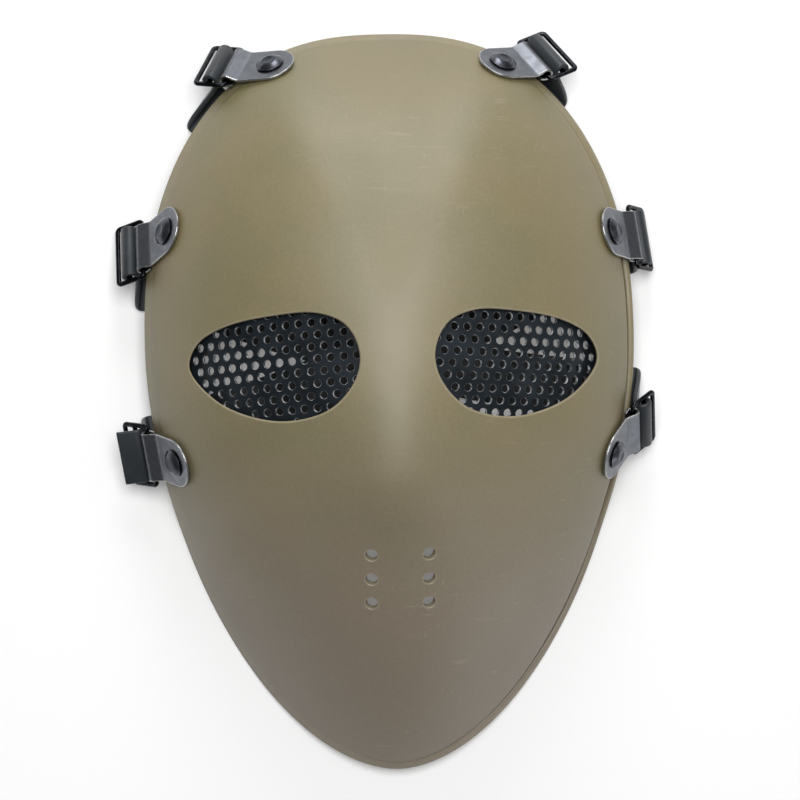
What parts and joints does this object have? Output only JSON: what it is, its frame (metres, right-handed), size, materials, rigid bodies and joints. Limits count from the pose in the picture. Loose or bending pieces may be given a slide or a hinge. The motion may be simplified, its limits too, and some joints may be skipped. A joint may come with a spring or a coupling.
{
  "type": "full face mask",
  "caption": "Full-face protective mask with screened eye windows, mouth vents, riveted strap tabs and elastic straps that cross behind the face.",
  "frame": {"origin": "centre of the bounding box in plan, on the plane that the mask's edge lies on", "axes": "+Z out of the face, +Y from the chin to the brow, +X to the viewer's right as the face is looked at"},
  "size_m": [0.1973, 0.269, 0.0796],
  "materials": {
    "shell_plastic": "matte tan moulded plastic",
    "screen_steel": "gloss black painted perforated steel",
    "tab_metal": "bright grey plated steel",
    "rivet_metal": "dark grey plated steel",
    "slide_metal": "dark grey coated steel",
    "webbing": "woven black elastic"
  },
  "bodies": {
    "root": {"mask_shell": "shell_plastic", "eye_screen_left": "screen_steel", "eye_screen_right": "screen_steel", "tab_brow_left": "tab_metal", "tab_brow_right": "tab_metal", "tab_temple_left": "tab_metal", "tab_temple_right": "tab_metal", "tab_cheek_left": "tab_metal", "tab_cheek_right": "tab_metal", "rivet_brow_left": "rivet_metal", "rivet_brow_right": "rivet_metal", "rivet_temple_left": "rivet_metal", "rivet_temple_right": "rivet_metal", "rivet_cheek_left": "rivet_metal", "rivet_cheek_right": "rivet_metal", "slide_brow_left": "slide_metal", "slide_brow_right": "slide_metal", "slide_temple_left": "slide_metal", "slide_temple_right": "slide_metal", "slide_cheek_left": "slide_metal", "slide_cheek_right": "slide_metal", "strap_across_temples": "webbing", "strap_left_brow_to_right_cheek": "webbing", "strap_right_brow_to_left_cheek": "webbing"}
  },
  "joints": []
}
